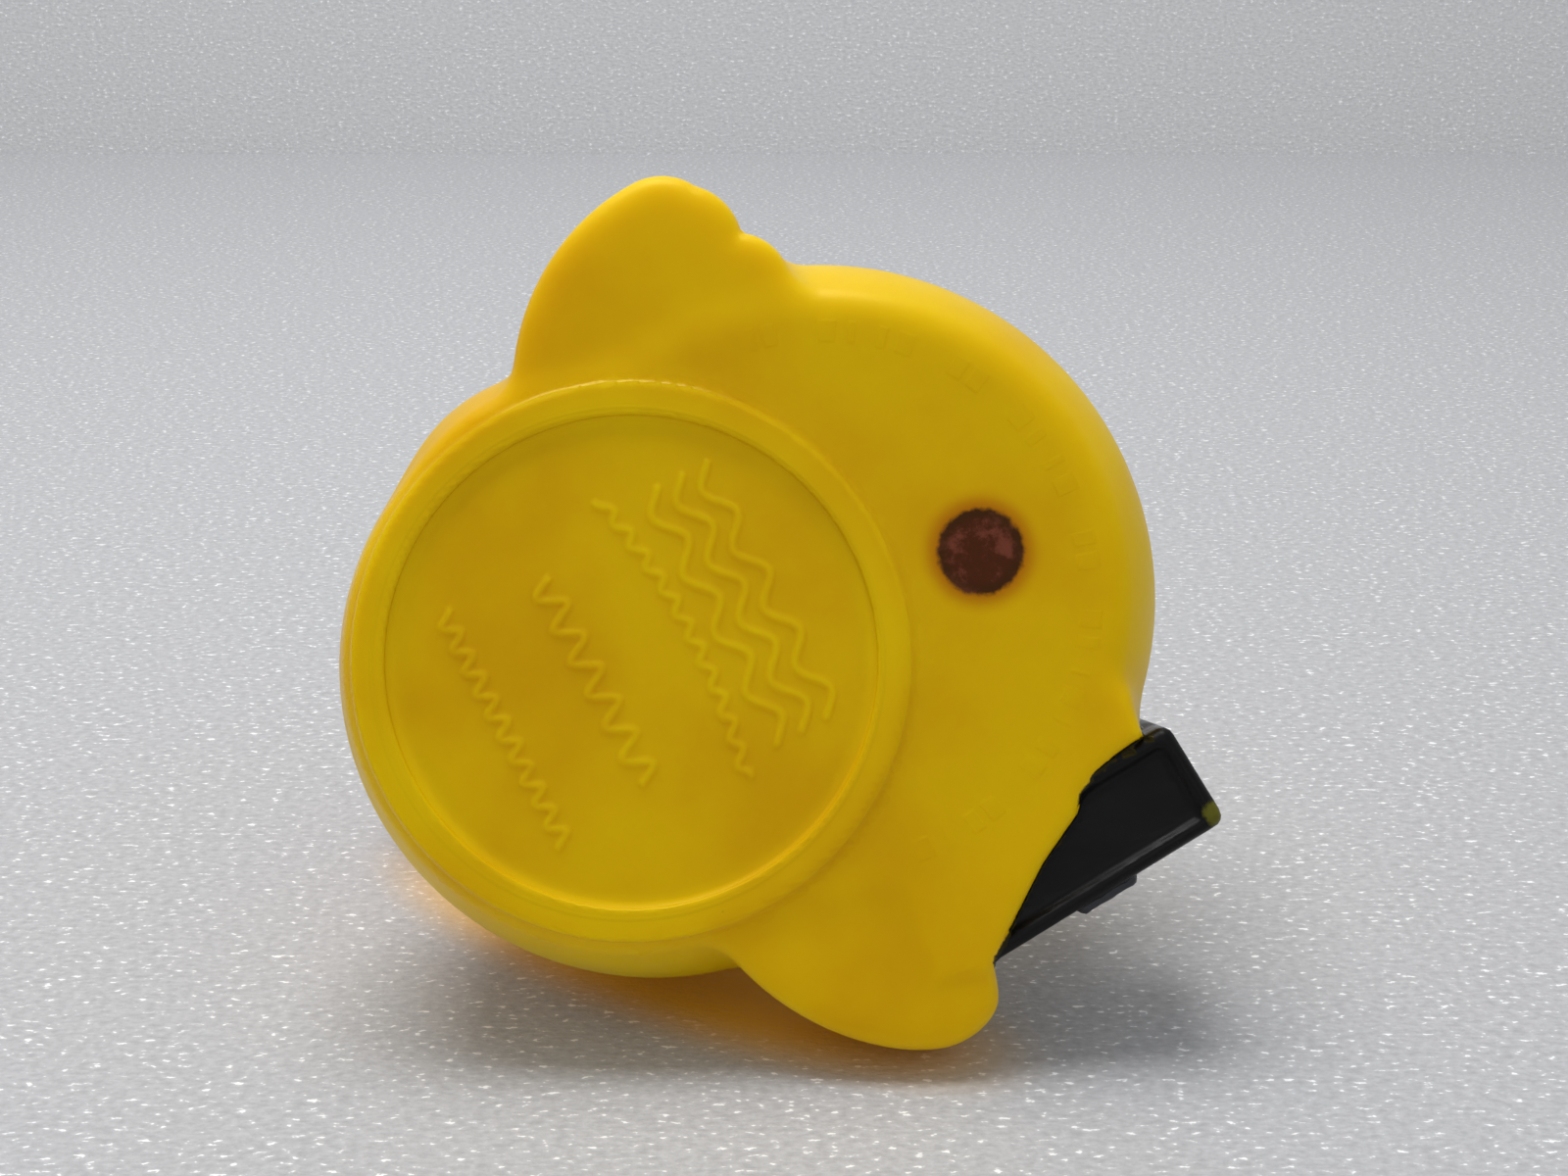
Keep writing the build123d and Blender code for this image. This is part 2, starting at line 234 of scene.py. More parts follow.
def outer(x, y, z):
    """The outside of the moulding, before the lid's seat."""
    r_front, r_rear = np.sqrt(x * x + y * y), np.sqrt(x * x + (y - RUMP_Y) ** 2)
    breast = cushion(leaning(x, y, z), z, BREAST_R, WIDEST, -8.5, RUMP_TOP + 2.0, 2.6, 2.3)
    rump = cushion(r_rear, z, RUMP_R, WIDEST, -6.5, RUMP_TOP, 2.5, 2.2)
    body = join(breast, rump, 4.0)
    shoulder = egg(x, y, z, (20.0, -4.2, 13.0), (10.2, 12.0, 13.2))
    body = join(join(body, shoulder, 5.0), web(x, y, z), 3.0)
    # the corner between the right wing and the case is filled less than the others
    fill = 2.2 - 1.0 * np.clip((y - 14.0) / 6.0, 0, 1) * (x < 0)
    body = join(body, wings(x, y, z), fill)
    tail = join(taper(x, y, z, (0, 38, 26), (0, 49, 34), 9.5, 5.2, 1.7),
                taper(x, y, z, (0, 49, 34), (0, 53.2, 41.5), 5.2, 1.7, 1.7), 2.0)
    body = join(body, tail, 4.0)
    head = np.sqrt(x * x + y * y + (z - HEAD_Z) ** 2) - HEAD_R
    body = join(body, head, 9.0)
    body = cut(body, BELLY - z, 1.3)
    ring = block(r_front, z * 0, z - 1.6, (RING_OUT, 1.0, 1.6), 0.3)
    body = join(body, ring, 0.5)
    box, latch = case_parts(x, y, z)
    body = join(body, box, 0.5)
    body = join(body, latch, 0.35)
    return join(body, bill(x, y, z), 0.9)


def bill(x, y, z):
    """Both lips of the bill."""
    lift = 0.045 * np.minimum(np.abs(x), 9) ** 1.6
    upper = egg(x, y, z - lift * 0.35 + 0.18 * (y + 22), (0, -22.5, HEAD_Z - 2.6), (9.8, 10.6, 3.3))
    lower = egg(x, y, z - 0.12 * (y + 20), (0, -20.5, HEAD_Z - 6.9), (7.4, 10.0, 2.8))
    return join(upper, lower, 0.4)


def hollow(x, y, z):
    """The air inside the duck, the opening that the lid closes, the squeaker's seat and its vent."""
    r_front, r_rear = np.sqrt(x * x + y * y), np.sqrt(x * x + (y - RUMP_Y) ** 2)
    breast = cushion(leaning(x, y, z), z, BREAST_R - WALL, WIDEST, -6.0, RUMP_TOP, 2.6, 2.3)
    rump = cushion(r_rear, z, RUMP_R - WALL, WIDEST, -4.0, RUMP_TOP - WALL, 2.5, 2.2)
    air = join(breast, rump, 3.0)
    head = np.sqrt(x * x + y * y + (z - HEAD_Z) ** 2) - (HEAD_R - WALL)
    air = join(air, head, 7.0)
    air = cut(air, BELLY + WALL - z, 1.0)
    boss = np.maximum(r_front - RING_OUT, z - (LID_BACK + WALL))
    air = cut(air, -boss, 0.4)
    across = np.sqrt(x * x + (z - CUP_Z) ** 2)
    socket = np.maximum(across - (CUP_R + WALL), CUP_Y[0] - y)
    air = cut(air, -socket, 0.4)
    throat = np.maximum(r_front - (RING_IN - 2.4), z - (LID_BACK + 4.0))
    bore = np.maximum(across - (CUP_R + 0.05), np.maximum(CUP_Y[0] - 2.0 - y, y - CUP_Y[1]))
    vent = np.maximum(across - 2.0, CUP_Y[1] - 1.0 - y)
    return np.minimum(np.minimum(air, throat), np.minimum(bore, vent))


def duck(x, y, z):
    """The whole moulding, with the lid's seat."""
    r_front = np.sqrt(x * x + y * y)
    seated = cut(outer(x, y, z), -np.maximum(r_front - RING_IN, z - LID_BACK), 0.4)
    return cut(seated, -hollow(x, y, z), 0.25)


# ---------------------------------------------------------------- from field to mesh
def spaced(*runs):
    """Grid lines from runs of (start, stop, about this step)."""
    lines = [np.linspace(a, b, max(2, round((b - a) / s)) + 1)[:-1] for a, b, s in runs]
    return np.concatenate(lines + [[runs[-1][1]]])


def net(field, axes):
    """Vertices and quads of the zero surface of a field sampled on grid lines."""
    within = field < 0
    points, cells, quads = [], [], []
    for a in range(3):
        b, c = (a + 1) % 3, (a + 2) % 3
        near = tuple(slice(0, -1) if d == a else slice(None) for d in range(3))
        far = tuple(slice(1, None) if d == a else slice(None) for d in range(3))
        i = np.argwhere(within[near] != within[far])
        j = i.copy()
        j[:, a] += 1
        f0, f1 = field[tuple(i.T)], field[tuple(j.T)]
        p = np.stack([axes[d][i[:, d]] for d in range(3)], 1)
        p[:, a] += f0 / (f0 - f1) * (axes[a][j[:, a]] - axes[a][i[:, a]])
        corner = []
        for db, dc in ((0, 0), (-1, 0), (-1, -1), (0, -1)):
            q = i.copy()
            q[:, b] += db
            q[:, c] += dc
            corner.append(np.ravel_multi_index(q.T, field.shape))
        corner = np.stack(corner, 1)
        quads.append(np.where((f0 < 0)[:, None], corner, corner[:, ::-1]))
        points.append(np.repeat(p, 4, 0))
        cells.append(corner.ravel())
    quads, points, cells = (np.concatenate(v) for v in (quads, points, cells))
    ids, where = np.unique(cells, return_inverse=True)
    count = np.bincount(where)
    verts = np.stack([np.bincount(where, points[:, d]) / count for d in range(3)], 1)
    return verts, np.searchsorted(ids, quads)


def slope(field, v, step=0.02):
    """Direction in which the field grows at each point."""
    out = np.empty_like(v)
    for d in range(3):
        move = np.zeros(3)
        move[d] = step
        out[:, d] = (field(*(v + move).T) - field(*(v - move).T)) / (2 * step)
    return out


def settle(field, v, rounds, reach):
    """Moves points onto the field's zero surface, each round by at most reach."""
    for _ in range(rounds):
        g = slope(field, v)
        move = -field(*v.T)[:, None] * g / np.maximum((g * g).sum(1), 1e-6)[:, None]
        size = np.linalg.norm(move, axis=1, keepdims=True)
        v = v + move * np.minimum(1, reach / np.maximum(size, 1e-9))
    return v


def mesh_from(name, verts, faces):
    """A smooth-shaded mesh object from points in millimetres."""
    mesh = bpy.data.meshes.new(name)
    mesh.from_pydata((np.asarray(verts) * MM).tolist(), [], [list(map(int, f)) for f in faces])
    mesh.validate()
    mesh.shade_smooth()
    piece = bpy.data.objects.new(name, mesh)
    bpy.context.scene.collection.objects.link(piece)
    return piece


def store(piece, name, values):
    """Keeps one number for each point of a piece, to be read by its material."""
    layer = piece.data.attributes.new(name, "FLOAT", "POINT")
    layer.data.foreach_set("value", np.asarray(values, np.float32))


# the net is finest at the belly, where the low steps of ring and case lie
XS = spaced((-47.0, 47.0, BODY_STEP))
YS = spaced((-35.5, 58.0, BODY_STEP))
ZS = spaced((-0.9, 2.6, 0.35), (2.6, 8.0, 0.7), (8.0, 24.0, 0.95), (24.0, TOTAL_H + 1.5, 1.1))
field = duck(XS[:, None, None], YS[None, :, None], ZS[None, None, :])
verts, quads = net(field, (XS, YS, ZS))
verts = settle(duck, verts, 3, 0.4)
skin = mesh_from("duck_shell", verts, quads)
normals = slope(duck, verts)
normals /= np.linalg.norm(normals, axis=1, keepdims=True)
skin.data.normals_split_custom_set_from_vertices(normals.tolist())
# distances that the paint's edges follow
box_d, latch_d = case_parts(*verts.T)
box_d = np.minimum(box_d, latch_d)
web_d = web(*verts.T)
for layer_name, distance in (("case_mm", box_d), ("latch_mm", latch_d), ("web_mm", web_d),
                             ("rim_mm", rim_of_case(*verts.T)), ("bill_mm", bill(*verts.T))):
    store(skin, layer_name, distance)
# faces of the case that lie clear of the web are enamelled
covered = (box_d < 0.4) & (web_d > 0.15)
skin.data.polygons.foreach_set("material_index", covered[quads].all(1).astype(np.int32))


# ---------------------------------------------------------------- nodes
def linear(code):
    """sRGB hex to the linear colour that Blender's sockets take."""
    parts = [int(code[i:i + 2], 16) / 255 for i in (1, 3, 5)]
    return tuple(c / 12.92 if c <= 0.04045 else ((c + 0.055) / 1.055) ** 2.4 for c in parts) + (1.0,)


TIMES, PLUS, MINUS = ({"operation": name} for name in ("MULTIPLY", "ADD", "SUBTRACT"))
EASED = {"interpolation_type": "SMOOTHSTEP"}
OF_COLOURS = {"data_type": "RGBA", "out": 2}


def add_node(tree, kind, *inputs, out=0, **named):
    """Adds a node and returns one of its outputs.

    inputs go in the order of the sockets. Of the named ones, a capital stands for a socket's name, i and a
    number for a socket's place, and the others are the node's own settings.
    """
    node = tree.nodes.new(kind if "Node" in kind else "ShaderNode" + kind)
    wanted = list(enumerate(inputs))
    for key, value in named.items():
        if key[0] == "i" and key[1:].isdigit():
            wanted.append((int(key[1:]), value))
        elif key[0].isupper():
            wanted.append((key.replace("_", " "), value))
        else:
            setattr(node, key, value)
    for place, value in wanted:
        if isinstance(value, bpy.types.NodeSocket):
            tree.links.new(value, node.inputs[place])
        else:
            node.inputs[place].default_value = value
    return node.outputs[out] if len(node.outputs) else None


def blank(name):
    """An empty material, and the function that adds nodes to it."""
    made = bpy.data.materials.new(name)
    made.use_nodes = True
    made.node_tree.nodes.clear()
    return made, partial(add_node, made.node_tree)


# Plasticised PVC, rotation moulded: waxy, lets light a few millimetres in, faint ripples left by the mould.
YELLOW = linear("#E8C000")
YELLOW_DEEP = linear("#DEAD00")
INK, INK_THIN, INK_RIM, INK_HALO = (linear(code) for code in ("#420912", "#72332F", "#2A080A", "#B45C06"))
BILL_ORANGE = linear("#D8560E")
DIRT = linear("#4A3A08")
LIGHT_REACH = 3.5 * MM
DASHES_R = RUMP_R - 7.5
# the eye and its spark: out from the middle, above the head's centre, half width, half height, colour
EYES = ((9.0, 4.2, 2.5, 3.6, "#0B0B0C"), (8.2, 5.7, 0.8, 1.0, "#F2F2EE"))


def dashes(add, x, y, z):
    """A faint raised row of dashes round the rear of the belly, as left by an engraved mould."""
    back = add("Math", y, RUMP_Y * MM, **MINUS)
    off_axis = add("Math", add("Math", add("Math", x, x, **TIMES), add("Math", back, back, **TIMES), **PLUS),
                   operation="SQRT")
    beside = add("Math", add("Math", off_axis, DASHES_R * MM, **MINUS), operation="ABSOLUTE")
    row = add("MapRange", beside, 0.0012, 0.0009, **EASED)
    turn = add("Math", back, x, operation="ARCTAN2")
    quick, slow = (add("Math", add("Math", turn, rate, **TIMES), operation="SINE") for rate in (62.0, 23.0))
    beat = add("Math", quick, slow, **PLUS)
    on = add("Math", row, add("MapRange", beat, 0.1, 0.5, **EASED), **TIMES)
    rear, below = add("MapRange", back, 0.0, 0.002, **EASED), add("MapRange", z, 0.004, 0.003, **EASED)
    rear = add("Math", rear, below, **TIMES)
    return add("Math", add("Math", on, rear, **TIMES), 0.9, **TIMES)


def enamel_tint(add, at):
    """The black of the enamel, a little lighter in clouds."""
    return add("Mix", add("TexNoise", Vector=at, Scale=260.0, Detail=3.0), i6=linear("#050505"),
               i7=linear("#0E0D0E"), **OF_COLOURS)


def vinyl(name, painted):
    """Soft yellow vinyl. The painted one also has the ink dot, the bill, the eyes and the case's black edge."""
    made, add = blank(name)
    at = add("TexCoord", out="Object")
    cloud = add("TexNoise", Vector=at, Scale=45.0, Detail=3.0)
    colour = add("Mix", add("MapRange", cloud, 0.35, 0.7, **EASED), i6=YELLOW, i7=YELLOW_DEEP, **OF_COLOURS)
    grain = add("TexNoise", Vector=at, Scale=2600.0, Detail=2.0)
    swell = add("TexNoise", Vector=at, Scale=160.0, Detail=3.0)
    rough = add("MapRange", add("TexNoise", Vector=at, Scale=320.0, Detail=4.0), 0.3, 0.75, 0.34, 0.48)
    x, y, z = add("SeparateXYZ", Vector=at).node.outputs
    # the glue between lid and ring is denser than the vinyl, light does not spread across it
    off_axis = add("Math", add("Math", add("Math", x, x, **TIMES), add("Math", y, y, **TIMES), **PLUS),
                   operation="SQRT")
    beside = add("Math", add("Math", off_axis, (RING_IN + 0.6) * MM, **MINUS), operation="ABSOLUTE")
    seam = add("MapRange", beside, 0.0024, 0.001, **EASED)
    glued = add("Math", seam, add("MapRange", z, 0.004, 0.003, **EASED), **TIMES)
    sss = add("Math", 1.0, add("Math", glued, 0.9, **TIMES), **MINUS)
    if painted:
        wobble = add("TexNoise", Vector=at, Scale=900.0, Detail=4.0, Roughness=0.65)
        edge = add("Math", add("Math", wobble, 0.5, **MINUS), 1.1, **TIMES)
        # maroon ink dot with a flaked rim and an orange halo where its dye has crept into the vinyl
        dx = add("Math", add("Math", x, DOT_AT[0] * MM, **MINUS), 1000.0, **TIMES)
        dy = add("Math", add("Math", y, DOT_AT[1] * MM, **MINUS), 1000.0, **TIMES)
        away = add("Math", add("Math", add("Math", dx, dx, **TIMES), add("Math", dy, dy, **TIMES), **PLUS),
                   operation="SQRT")
        low = add("MapRange", z, 0.006, 0.004, **EASED)
        halo = add("Math", add("MapRange", away, DOT_R + 2.2, DOT_R - 0.4, **EASED), low, **TIMES)
        colour = add("Mix", add("Math", halo, 0.85, **TIMES), i6=colour, i7=INK_HALO, **OF_COLOURS)
        ink_edge = add("Math", away, edge, **PLUS)
        ink = add("Math", add("MapRange", ink_edge, DOT_R + 0.35, DOT_R - 0.25, **EASED), low, **TIMES)
        blotch = add("TexNoise", Vector=at, Scale=420.0, Detail=5.0, Roughness=0.7)
        thin = add("MapRange", blotch, 0.47, 0.66, **EASED)
        rim = add("MapRange", away, DOT_R - 1.4, DOT_R - 0.4, **EASED)
        ink_colour = add("Mix", thin, i6=INK, i7=INK_THIN, **OF_COLOURS)
        ink_colour = add("Mix", add("Math", rim, 0.6, **TIMES), i6=ink_colour, i7=INK_RIM, **OF_COLOURS)
        colour = add("Mix", ink, i6=colour, i7=ink_colour, **OF_COLOURS)
        sss = add("Math", sss, add("Math", 1.0, add("Math", ink, 0.9, **TIMES), **MINUS), **TIMES)
        # orange bill
        bill_d = add("Attribute", attribute_name="bill_mm", out="Fac")
        front = add("MapRange", y, -0.015, -0.0155, **EASED)
        bill_edge = add("Math", bill_d, add("Math", edge, 0.25, **TIMES), **PLUS)
        bill_on = add("Math", add("MapRange", bill_edge, 0.5, 0.35, **EASED), front, **TIMES)
        colour = add("Mix", bill_on, i6=colour, i7=BILL_ORANGE, **OF_COLOURS)
        # eyes: an upright black oval each side, with a small white spark
        side = add("Math", x, operation="ABSOLUTE")
        for off, rise, wide, high, tint in EYES:
            ex = add("Math", add("Math", side, off * MM, **MINUS), wide * MM, operation="DIVIDE")
            ez = add("Math", add("Math", z, (HEAD_Z + rise) * MM, **MINUS), high * MM, operation="DIVIDE")
            gap = add("Math", add("Math", add("Math", ex, ex, **TIMES), add("Math", ez, ez, **TIMES), **PLUS),
                      operation="SQRT")
            eye = add("Math", add("MapRange", gap, 1.03, 0.97, **EASED), front, **TIMES)
            colour = add("Mix", eye, i6=colour, i7=linear(tint), **OF_COLOURS)
            sss = add("Math", sss, add("Math", 1.0, eye, **MINUS), **TIMES)
            rough = add("Math", rough, add("Math", eye, 0.18, **TIMES), **MINUS)
        sss = add("Math", sss, add("Math", 1.0, add("Math", bill_on, 0.8, **TIMES), **MINUS), **TIMES)
        # black enamel on the case, masked by brush, rubbed through on its corners
        case_d = add("Attribute", attribute_name="case_mm", out="Fac")
        web_d = add("Attribute", attribute_name="web_mm", out="Fac")
        web_edge = add("Math", web_d, add("Math", edge, 0.8, **TIMES), **PLUS)
        off_web = add("MapRange", web_edge, -0.15, 0.05, **EASED)
        on_case = add("MapRange", add("Math", case_d, edge, **PLUS), 0.75, 0.6, **EASED)
        black = add("Math", on_case, off_web, **TIMES)
        colour = add("Mix", black, i6=colour, i7=enamel_tint(add, at), **OF_COLOURS)
        sss = add("Math", sss, add("Math", 1.0, black, **MINUS), **TIMES)
        shine = add("Math", add("TexNoise", Vector=at, Scale=500.0, Detail=2.0), 0.35, **TIMES)
        gloss = add("Math", black, shine, **TIMES)
        rough = add("Math", rough, gloss, **MINUS)
    # a few grains of dirt pressed into the surface
    grit = add("TexVoronoi", Vector=at, Scale=70.0, out="Distance")
    speck = add("Math", add("MapRange", grit, 0.026, 0.016, **EASED), 0.75, **TIMES)
    colour = add("Mix", speck, i6=colour, i7=DIRT, **OF_COLOURS)
    height = add("Math", add("Math", grain, 0.12, **TIMES), add("Math", swell, 0.8, **TIMES), **PLUS)
    if painted:
        height = add("Math", height, dashes(add, x, y, z), **PLUS)
        # the mould's parting line: the flank stands a little proud of the foot ring's outer edge
        lip = add("Math", off_axis, RING_OUT * MM, **MINUS)
        steep = add("MapRange", lip, -0.0002, 0.0001, **EASED)
        gentle = add("MapRange", lip, 0.0025, 0.0002, **EASED)
        proud = add("Math", steep, gentle, **TIMES)
        proud = add("Math", proud, add("MapRange", z, 0.003, 0.002, **EASED), **TIMES)
        height = add("Math", height, add("Math", proud, 1.3, **TIMES), **PLUS)
        rough = add("Math", rough, add("Math", proud, 0.16, **TIMES), **MINUS)
    bump = add("Bump", Strength=0.35, Distance=0.0002, Height=height)
    shader = add("BsdfPrincipled", Base_Color=colour, Roughness=rough, IOR=1.53, Normal=bump,
                 Subsurface_Weight=sss, Subsurface_Radius=(1.0, 0.86, 0.1), Subsurface_Scale=LIGHT_REACH,
                 Specular_IOR_Level=0.32, Specular_Tint=linear("#FFE477"), subsurface_method="RANDOM_WALK")
    add("OutputMaterial", Surface=shader)
    return made


# outer rear corner of the case's foot, where the enamel is rubbed through
RUBBED = (-31.3 * MM, 49.0 * MM, CASE_FOOT * MM)
# grey of the rims' chips and painted highlights, grey of the latch, olive where the enamel is rubbed through
CHIP_AND_GLINT_GREY, LATCH_GREY, RUBBED_OLIVE = (linear(code) for code in ("#5E5C55", "#3C3D40", "#5C5A12"))


def enamel(name):
    """Black enamel on the case: a glossy brushed coat, dull where thin, with grey flecks along the rims that
    are partly chipped enamel and partly painted highlights.
    """
    made, add = blank(name)
    at = add("TexCoord", out="Object")
    edge = add("Math", add("TexNoise", Vector=at, Scale=900.0, Detail=4.0, Roughness=0.65), 0.5, **MINUS)
    latch_d = add("Attribute", attribute_name="latch_mm", out="Fac")
    silver = add("MapRange", add("Math", latch_d, add("Math", edge, 0.4, **TIMES), **PLUS), 0.2, 0.1, **EASED)
    bend = add("Attribute", attribute_name="rim_mm", out="Fac")
    flakes = add("TexNoise", Vector=at, Scale=700.0, Detail=4.0, Roughness=0.7)
    # grey flecks along the rims: partly chipped enamel, partly painted highlights standing for the rims' glints
    chip_and_glint = add("Math", add("MapRange", flakes, 0.6, 0.66, **EASED), add("MapRange", bend, 0.5, 0.1, **EASED),
               **TIMES)
    colour = add("Mix", chip_and_glint, i6=enamel_tint(add, at), i7=CHIP_AND_GLINT_GREY, **OF_COLOURS)
    colour = add("Mix", silver, i6=colour, i7=LATCH_GREY, **OF_COLOURS)
    # rubbed through to the vinyl at the outer rear corner
    wear = add("VectorMath", at, RUBBED, operation="DISTANCE", out="Value")
    wear = add("Math", wear, add("Math", edge, 0.0012, **TIMES), **PLUS)
    worn = add("MapRange", wear, 0.0015, 0.001, **EASED)
    colour = add("Mix", worn, i6=colour, i7=RUBBED_OLIVE, **OF_COLOURS)
    strokes = add("TexNoise", Vector=add("Mapping", Vector=at, Scale=(1.0, 0.35, 1.0)), Scale=350.0, Detail=3.0)
    rough = add("MapRange", strokes, 0.35, 0.65, 0.24, 0.42)
    bump = add("Bump", Strength=0.4, Distance=0.00015, Height=strokes)
    metal = add("Math", silver, 0.3, **TIMES)
    shader = add("BsdfPrincipled", Base_Color=colour, Roughness=rough, Metallic=metal, Normal=bump,
                 Specular_IOR_Level=0.16)
    add("OutputMaterial", Surface=shader)
    return made


SKIN = vinyl("soft_vinyl_painted", True)
ENAMEL = enamel("black_enamel")
LID = vinyl("soft_vinyl_lid", False)


def plain(name, tint, rough, metal=0.0, per_metre=800.0):
    """Metal or hard plastic with a mottle of about 1 mm in its gloss."""
    made, add = blank(name)
    at = add("TexCoord", out="Object")
    mottle = add("TexNoise", Vector=at, Scale=per_metre, Detail=3.0)
    colour = add("Mix", mottle, i6=linear(tint[0]), i7=linear(tint[1]), **OF_COLOURS)
    gloss = add("MapRange", mottle, 0.3, 0.7, rough - 0.06, rough + 0.08)
    bump = add("Bump", Strength=0.2, Distance=0.0001, Height=mottle)
    shader = add("BsdfPrincipled", Base_Color=colour, Roughness=gloss, Metallic=metal, Normal=bump)
    add("OutputMaterial", Surface=shader)
    return made


# bright zinc plating, hardly mirrors; hard white polyethylene, a waxy sheen; rolled brass, a warm satin gloss
ZINC = plain("zinc_plated_steel", ("#8D9094", "#A5A8AB"), 0.34, 1.0)
WHITE_PE = plain("white_polyethylene", ("#DDDDD6", "#ECECE8"), 0.45)
BRASS = plain("rolled_brass", ("#B08A45", "#C49A52"), 0.3, 1.0)


# ---------------------------------------------------------------- the lid with its raised marks
def lid_disc():
    """A fine face on a square net bent to a disc, a turned-up rim, a flat back with a wall round the weight."""
    n = LID_STEPS
    u = np.linspace(-1, 1, n + 1)
    uu, vv = np.meshgrid(u, u, indexing="ij")
    px, py = uu * np.sqrt(1 - vv ** 2 / 2), vv * np.sqrt(1 - uu ** 2 / 2)
    face = np.stack([px.ravel() * (LID_R - 1.2), py.ravel() * (LID_R - 1.2), np.full(px.size, LID_FACE)], 1)
    grid = np.arange((n + 1) ** 2).reshape(n + 1, n + 1)
    quads = np.stack([grid[:-1, :-1], grid[:-1, 1:], grid[1:, 1:], grid[1:, :-1]], -1).reshape(-1, 4)
    loop = np.concatenate([grid[:-1, 0], grid[-1, :-1], grid[:0:-1, -1], grid[0, :0:-1]])
    turn = np.arctan2(face[loop, 1], face[loop, 0])
    # the fillet up to the foot ring is worn wide in front and still crisp behind
    soft = 0.5 + 1.7 * np.clip(0.5 - np.sin(turn) / 2, 0, 1)
    near, far = RING_IN - 0.4 * soft, RING_IN + 0.2 + 0.45 * soft
    share = np.linspace(0, 1, 10)
    profile = [(near + (far - near) * t, LID_FACE * (1 - t * t * (3 - 2 * t)) - 0.02) for t in share]
    profile += [(far + 0.2, -0.015), (far + 0.4, 0.0), (far + 0.6, 0.04), (far + 0.7, 0.3),
                (far + 0.7, LID_FACE + 0.3), (RING_IN, LID_BACK - 0.2),
                (LID_R - 0.2, LID_BACK), (WEIGHT_R + 1.8, LID_BACK),
                (WEIGHT_R + 1.8, WEIGHT_TOP), (WEIGHT_R + 0.3, WEIGHT_TOP),
                (WEIGHT_R + 0.3, LID_BACK), (4.0, LID_BACK)]
    rows, sides, before, total = [face], [quads], loop, len(face)
    for radius, z in profile:
        rows.append(np.stack([radius * np.cos(turn), radius * np.sin(turn), np.full(len(turn), z)], 1))
        now = total + np.arange(len(loop))
        sides.append(np.stack([before, np.roll(before, -1), np.roll(now, -1), now], -1))
        before, total = now, total + len(loop)
    faces = [list(f) for f in np.concatenate(sides)] + [list(before)]
    return mesh_from("base_lid_face", np.concatenate(rows), faces)


# raised rows on the lid in millimetres: centre y, length, wave length, wave height, rows, gap of rows, bend
ROWS = [(12.0, 27.0, 6.4, 2.1, 3, 2.7, 0.0),
        (6.3, 30.0, 2.6, 1.0, 1, 1.0, 0.008),
        (-4.0, 21.5, 3.5, 2.4, 1, 1.0, 0.0),
        (-13.9, 25.0, 2.4, 1.5, 1, 1.0, 0.0)]
ROWS_TURN = math.radians(-10.0)
POINT_GAP = 0.25


def ripples_tree():
    """Geometry nodes for the lid's raised ripples. Each row is a wave; the face rises where it is near one."""
    tree = bpy.data.node_groups.new("raised_ripples", "GeometryNodeTree")
    add = partial(add_node, tree)
    for name, kind, value in (("Geometry", "NodeSocketGeometry", None),
                              ("Stroke width", "NodeSocketFloat", 0.3 * MM),
                              ("Stroke height", "NodeSocketFloat", 0.4 * MM),
                              ("Finish", "NodeSocketMaterial", None)):
        socket = tree.interface.new_socket(name, in_out="INPUT", socket_type=kind)
        if value:
            socket.default_value = value
    tree.interface.new_socket("Geometry", in_out="OUTPUT", socket_type="NodeSocketGeometry")
    given = tree.nodes.new("NodeGroupInput").outputs

    gathered = add("GeometryNodeJoinGeometry").node
    for mid, length, wave, tall, rows, gap, bow in ROWS:
        half = length / 2 * MM
        line = add("GeometryNodeCurvePrimitiveLine", Start=(-half, 0, 0), End=(half, 0, 0))
        fine = add("GeometryNodeResampleCurve", Curve=line, Count=int(length / POINT_GAP))
        along = add("SeparateXYZ", Vector=add("GeometryNodeInputPosition"))
        turn = add("Math", along, 2 * math.pi / (wave * MM), **TIMES)
        swing = add("Math", add("Math", turn, operation="SINE"), tall / 2 * MM, **TIMES)
        bend = add("Math", add("Math", along, along, **TIMES), -bow / MM, **TIMES)
        lift = add("CombineXYZ", Y=add("Math", swing, bend, **PLUS))
        waved = add("GeometryNodeSetPosition", Geometry=fine, Offset=lift)
        strip = add("GeometryNodeCurveToMesh", Curve=waved)
        first = (0, (mid - gap * (rows - 1) / 2) * MM, LID_FACE * MM)
        spread = add("GeometryNodeMeshLine", Count=rows, Offset=(0, gap * MM, 0), Start_Location=first)
        placed = add("GeometryNodeInstanceOnPoints", Points=spread, Instance=strip)
        tree.links.new(placed, gathered.inputs[0])
    turned = add("GeometryNodeTransform", Geometry=gathered.outputs[0], Rotation=(0, 0, ROWS_TURN))
    whole = add("GeometryNodeRealizeInstances", Geometry=turned)
    near = add("GeometryNodeProximity", whole, target_element="EDGES", out="Distance")
    rise = add("MapRange", add("Math", near, given["Stroke width"], operation="DIVIDE"), 1.25, 0.55, **EASED)
    drop = add("Math", add("Math", rise, given["Stroke height"], **TIMES), -1.0, **TIMES)
    level = add("SeparateXYZ", Vector=add("GeometryNodeInputPosition"), out="Z")
    on_face = add("FunctionNodeCompare", level, (LID_FACE + 0.05) * MM, data_type="FLOAT",
                  operation="LESS_THAN")
    raised = add("GeometryNodeSetPosition", Geometry=given["Geometry"], Selection=on_face,
                 Offset=add("CombineXYZ", Z=drop))
    solid = add("GeometryNodeRealizeInstances", Geometry=raised)
    coated = add("GeometryNodeSetMaterial", Geometry=solid, Material=given["Finish"])
    tree.links.new(coated, tree.nodes.new("NodeGroupOutput").inputs[0])
    return tree


